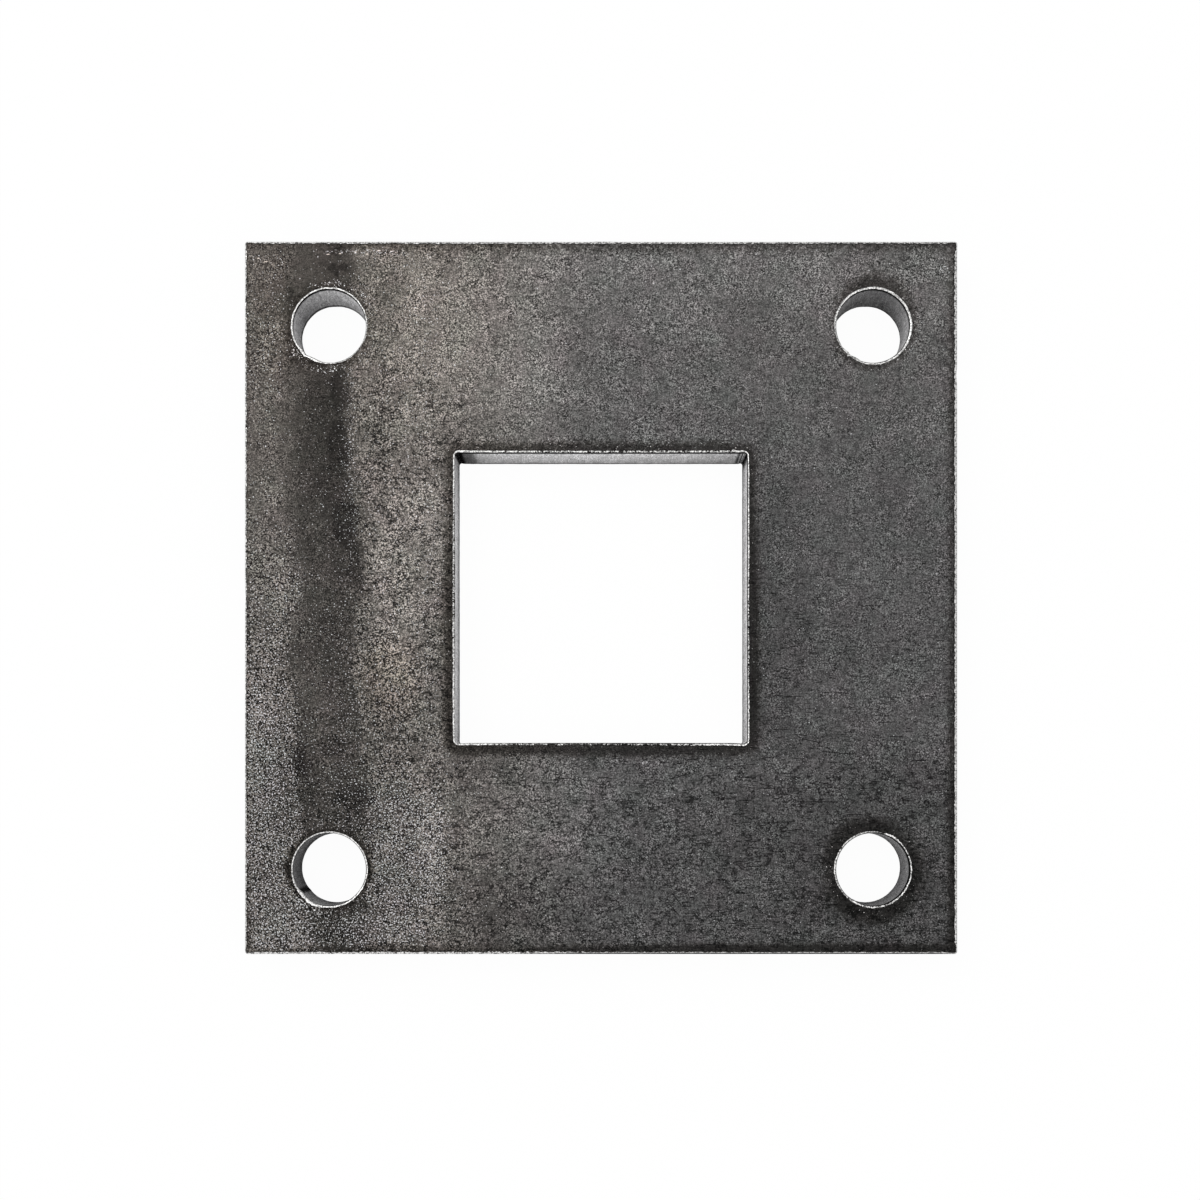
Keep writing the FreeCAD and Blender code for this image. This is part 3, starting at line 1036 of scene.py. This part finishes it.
def makeSkinGroup(grainGroup):
    group, given, result = newGroup(
        "millScaleSkin", ("Vector", "Seam", *skinQualities), ("Color", "Roughness", "Height"))
    own = makeMarks(given["Vector"], skinForm)
    # the heat stain eats in from the cut with a ragged border, and is smoother than the scale
    stain = ramp(plus(own.border, given["Stain"]), *own.stainFade)
    grain = placeGroup(group, grainGroup, {
        "Vector": given["Vector"],
        "Contrast": times(given["Contrast"], withMore(1.0, stain, own.stainCalm)),
        "Sparkle": times(given["Sparkle"], minus(1.0, stain)),
        "Drag": given["Drag"],
        "Cracks": given["Cracks"],
    })
    light = times(lightOf(given["Tone"]), grain["Gain"])
    # soot lies in jagged patches
    soot = ramp(plus(own.jagged, given["Soot"]), *own.sootFade)
    light = times(light, withMore(1.0, soot, own.sootDark))
    # painted highlight: glints of single grains added to the colour
    light = withMore(light, grain["Glint"], own.glintLight)
    light = times(light, withMore(1.0, stain, own.stainDark))
    light = times(light, ramp(plus(own.seamWander, given["Seam"]), *own.seamFade))
    # grooves are dark or bright along their bottom line
    light = times(light, ramp(given["Scratch"], *own.darkGroove))
    light = plus(light, ramp(given["Scratch"], *own.brightGroove))
    # spatter beads: real beads with their relief, made near white by a painted highlight
    beads = withMore(own.beads, times(given["Spatter"], own.clumps), own.beadLift)
    beads = ramp(beads, *own.beadFade)
    light = combine("MINIMUM", withMore(light, beads, own.beadLight), own.lightest)
    # brown where it is warm and stained, and a little violet or green in broad blots; the painted highlights
    # of glints and beads aren't warm
    warmth = times(given["Warmth"], minus(1.0, combine("MAXIMUM", beads, grain["Glint"])))
    blots = minus(own.blots, 0.5)
    casts = []
    for color in ("red", "blue"):
        cast, *shares = skinForm[color]
        for value, share in zip((warmth, blots, stain), shares):
            cast = withMore(cast, value, share)
        casts.append(cast)
    rough = withMore(own.rough, combine("MINIMUM", grain["Gain"], own.roughGain), own.grainSmooth)
    rough = withMore(rough, stain, own.stainRough)
    feed(result["Color"], greyColor(light, (casts[0], 1.0, casts[1])))
    feed(result["Roughness"], withMore(rough, grain["Glint"], own.glintSmooth))
    feed(result["Height"], withMore(grain["Height"], beads, own.beadHeight))
    return group


def plateCoordinates(tree):
    # the plate's own millimetres
    return stretch(addNode(tree, "TexCoord").outputs["Object"], (1 / metresPerMm,) * 3)


def newMaterial(name):
    material = bpy.data.materials.new(name)
    material.use_nodes = True
    material.node_tree.nodes.clear()
    return material, material.node_tree


def finishSurface(finish, color, metallic, rough, height):
    tree = color.id_data
    distance = finish["bumpMm"] * metresPerMm
    bump = addNode(tree, "Bump", Strength=finish["bumpStrength"], Distance=distance, Height=height)
    shader = addNode(tree, "BsdfPrincipled", Metallic=metallic, Roughness=rough, Normal=bump.outputs[0])
    feed(shader.inputs["Base Color"], color)
    feed(shader.inputs["Specular IOR Level"], finish["specular"])
    addNode(tree, "OutputMaterial", Surface=shader.outputs[0])


def placeSkin(skinGroup, place, addedStain=0.0):
    tree = place.id_data
    given = {quality: meshLook(tree, quality.lower()) for quality in skinQualities}
    given["Stain"] = plus(given["Stain"], addedStain)
    given["Seam"] = times(meshLook(tree, "seamNear"), meshLook(tree, "lipSeam"))
    return placeGroup(tree, skinGroup, {"Vector": place, **given})


millScaleFinish = {"metallic": 0.55, "specular": 0.1, "bumpStrength": 0.35, "bumpMm": 0.03}


def makeMillScale(skinGroup):
    material, tree = newMaterial("millScale")
    skin = placeSkin(skinGroup, plateCoordinates(tree))
    metallic = millScaleFinish["metallic"]
    finishSurface(millScaleFinish, skin["Color"], metallic, skin["Roughness"], skin["Height"])
    return material


lipFinish = {
    "metallic": 0.75,
    "specular": 0.0,
    "bumpStrength": 0.5,
    "bumpMm": 0.03,
    "addedStain": 0.5,
    "wander": dict(scale=1.8, detail=2.0, roughness=0.6, swings=0.4),
    "starts": (0.0, 0.12),  # across the lip, which runs from 0 at the face to 1 at the wall
    "ends": (-0.05, 0.06),  # about lipSplit
    "pitting": dict(scale=4.4, detail=1.0, distortion=0.4),
    "runs": dict(scale=1.5, detail=2.0, roughness=0.6, swings=0.7),
    "coverSwing": 0.8,
    "coverFade": (0.42, 0.54),
    "mottled": dict(scale=4.6, detail=1.0, fade=(0.34, 0.64, 0.4, 1.3)),
    "lightest": 0.95,
    "tint": (1.0, 0.99, 0.975),
    # near black of the painted shade line by the wall, and grey of the painted highlight line along the
    # wall's edge
    "dark": 0.008,
    "edgeLine": 0.45,
    "edgeFade": (0.84, 0.92),
    "rough": 0.55,
    "bareSmooth": -0.2,
}


def makeCutLip(skinGroup):
    # bright melted metal with a painted highlight on it, between the mill scale and the wall, with a dark
    # seam on the face's side and a painted shade line and a painted highlight line on the wall's side
    material, tree = newMaterial("cutLip")
    place = plateCoordinates(tree)
    own = makeMarks(place, lipFinish)
    skin = placeSkin(skinGroup, place, own.addedStain)
    across = meshLook(tree, "lipAcross")
    wandering = plus(own.wander, across)
    cover = plus(own.pitting, own.runs, swing(meshLook(tree, "lipCover"), own.coverSwing))
    bare = times(ramp(wandering, *own.starts), ramp(cover, *own.coverFade))
    # the bare metal's own lighter grey, brightened to near white by a painted highlight
    metal = times(lightOf(meshLook(tree, "lipTone")), own.mottled)
    metal = greyColor(combine("MINIMUM", metal, own.lightest), own.tint)
    color = blendColors(bare, skin["Color"], metal)
    # painted shade: near black from lipSplit to the wall, where the lip turns down
    leaves = ramp(minus(wandering, meshLook(tree, "lipSplit")), *own.ends)
    shaded = times(leaves, meshLook(tree, "lipDark"))
    color = blendColors(shaded, color, (own.dark,) * 3 + (1,))
    # painted highlight: a grey line along the lip's edge by the wall
    edgeHighlightShare = times(ramp(across, *own.edgeFade), meshLook(tree, "lipEdge"))
    color = blendColors(edgeHighlightShare, color, (own.edgeLine,) * 3 + (1,))
    # the painted shade line and the painted highlight line don't mirror the room
    metallic = times(bare, minus(1.0, combine("MAXIMUM", shaded, edgeHighlightShare)), own.metallic)
    rough = withMore(own.rough, bare, own.bareSmooth)
    finishSurface(lipFinish, color, metallic, rough, plus(skin["Height"], own.pitting))
    return material


wallFinish = {
    "metallic": 0.25,
    "specular": 0.0,
    "bumpStrength": 0.4,
    "bumpMm": 0.02,
    "ripples": dict(stretched=(5.0, 5.0, 0.3), scale=1.0, detail=2.0, roughness=0.6),
    "rippleFade": (0.3, 0.7, 0.86, 1.14),
    "drift": dict(stretched=(0.8, 0.8, 0.5), scale=1.0, detail=2.0, roughness=0.6),
    "driftFade": (0.3, 0.7, 0.88, 1.12),
    "driftRough": (0.3, 0.7, 0.5, 0.65),
    "contrast": 0.5,
    "sparkle": 0.1,
    "footStart": -1.3,  # times the height of the painted shadow line, from the wall's foot
    "footFull": -0.7,
    # painted shadow: how dark the line along the wall's foot is
    "footDark": 0.3,
    # painted shade at the top of the wall, under the lip's painted shade line
    "throat": (0.0, 0.07, 0.5, 0.0),
    # painted light and shade down the wall: lighter at its top, darker at its foot
    "fall": (0.0, 1.0, 1.25, 0.72),
    "flecks": dict(scale=3.5, detail=1.0, fade=(0.56, 0.68, 0.0, 0.05)),
    "bareFrom": (0.02, 0.3),
    "tint": (1.0, 0.99, 1.0),
}


def makeCutWall(grainGroup):
    # grey wall with the cut's fine upright ripples, painted light and shade round it and down it, and a
    # painted shadow line along its foot
    material, tree = newMaterial("cutWall")
    place = plateCoordinates(tree)
    own = makeMarks(place, wallFinish)
    grain = placeGroup(tree, grainGroup, {
        "Vector": place, "Contrast": own.contrast, "Sparkle": own.sparkle})
    gain = times(ramp(own.ripples, *own.rippleFade), ramp(own.drift, *own.driftFade))
    # the wall's own grey, with painted light and shade that differ round the cut
    level = times(lightOf(meshLook(tree, "wallTone")), gain, grain["Gain"])
    down, footShadowShare = meshLook(tree, "wallDown"), meshLook(tree, "wallFoot")
    footStart = withMore(1.0, footShadowShare, own.footStart)
    footFull = withMore(1.0, footShadowShare, own.footFull)
    # painted shadow: a dark line along the wall's foot
    foot = ramp(down, footStart, footFull, 1.0, own.footDark)
    # painted shade just under the lip, where its painted shade line meets the wall
    throat = times(ramp(down, *own.throat), meshLook(tree, "lipDark"))
    # painted light and shade down the wall: lighter at its top, darker towards its foot
    level = times(level, combine("MINIMUM", foot, minus(1.0, throat)), ramp(down, *own.fall))
    level = plus(level, own.flecks)
    # where the wall is dark, from the painted shade and its own darker grey, it isn't metallic, so the dark
    # doesn't mirror the white room
    metallic = ramp(level, *own.bareFrom, 0.0, own.metallic)
    rough = ramp(own.drift, *own.driftRough)
    finishSurface(wallFinish, greyColor(level, own.tint), metallic, rough, plus(own.ripples, grain["Height"]))
    return material


grainGroup = makeGrainGroup()
skinGroup = makeSkinGroup(grainGroup)
for material in (makeMillScale(skinGroup), makeCutLip(skinGroup), makeCutWall(grainGroup)):
    cutPlate.data.materials.append(material)
print("materials made:", ", ".join(slot.name for slot in cutPlate.material_slots))


# Floor, lights and camera

studio = {
    "floorMm": 3000,
    "floorDrop": 0.02,  # mm under the plate, so that the two faces don't share a plane
    "floorWhite": 0.97,
    "floorGlow": 0.965,  # share of plain white that the camera sees in the floor
    "skyLight": 0.68,  # light on the object from all round, where 1 would be full white
}
lamps = {
    "keyLamp": {"place": (-700, 500, 1000), "size": 900, "watts": 6.0},
    "fillLamp": {"place": (800, -300, 900), "size": 900, "watts": 2.2},
}
photoView = {
    "place": (-0.155, -27.75, 207.0),  # mm; it looks straight down
    "sensor": 36.0,
    "lens": 43.03,
    "shiftY": 0.1631,
    "clipStart": 0.005,  # m
    "clipEnd": 20,
}


def seenDirectly(tree):
    # 1 for what the camera, a reflection or a clear material sees, 0 for light that falls on things
    rays = addNode(tree, "LightPath").outputs
    seen = combine("MAXIMUM", rays["Is Camera Ray"], rays["Is Glossy Ray"])
    return combine("MAXIMUM", seen, rays["Is Transmission Ray"])


def makeWorld():
    world = bpy.data.worlds.new("studioWorld")
    world.use_nodes = True
    tree = world.node_tree
    background = tree.nodes["Background"].inputs
    feed(background["Color"], (1, 1, 1, 1))
    feed(background["Strength"], ramp(seenDirectly(tree), 0, 1, studio["skyLight"], 1.0))
    bpy.context.scene.world = world


def makeFloor():
    half = studio["floorMm"] / 2 * metresPerMm
    level = -studio["floorDrop"] * metresPerMm
    data = bpy.data.meshes.new("studioFloor")
    corners = [(-half, -half, level), (half, -half, level), (half, half, level), (-half, half, level)]
    data.from_pydata(corners, [], [(0, 1, 2, 3)])
    material, tree = newMaterial("paleFloor")
    matte = addNode(tree, "BsdfDiffuse", Color=(studio["floorWhite"],) * 3 + (1,))
    glow = addNode(tree, "Emission", Color=(1, 1, 1, 1), Strength=1.0)
    mixed = addNode(tree, "MixShader", Fac=times(seenDirectly(tree), studio["floorGlow"]))
    feed(mixed.inputs[1], matte.outputs[0])
    feed(mixed.inputs[2], glow.outputs[0])
    addNode(tree, "OutputMaterial", Surface=mixed.outputs[0])
    data.materials.append(material)
    addObject("studioFloor", data)


def makeLamp(name, plan):
    lamp = bpy.data.lights.new(name, "AREA")
    lamp.shape = "SQUARE"
    lamp.size = plan["size"] * metresPerMm
    lamp.energy = plan["watts"]
    held = addObject(name, lamp)
    held.location = Vector(plan["place"]) * metresPerMm
    held.rotation_euler = (-held.location).to_track_quat("-Z", "Y").to_euler()


def makeCamera():
    camera = bpy.data.cameras.new("photoCamera")
    camera.sensor_width = photoView["sensor"]
    camera.lens = photoView["lens"]
    camera.shift_y = photoView["shiftY"]
    camera.clip_start = photoView["clipStart"]
    camera.clip_end = photoView["clipEnd"]
    held = addObject("photoCamera", camera)
    held.location = Vector(photoView["place"]) * metresPerMm
    bpy.context.scene.camera = held


makeWorld()
makeFloor()
for name, plan in lamps.items():
    makeLamp(name, plan)
makeCamera()
bpy.context.scene.view_settings.view_transform = "Standard"
print("studio set: floor, sky,", len(lamps), "lamps and the camera")
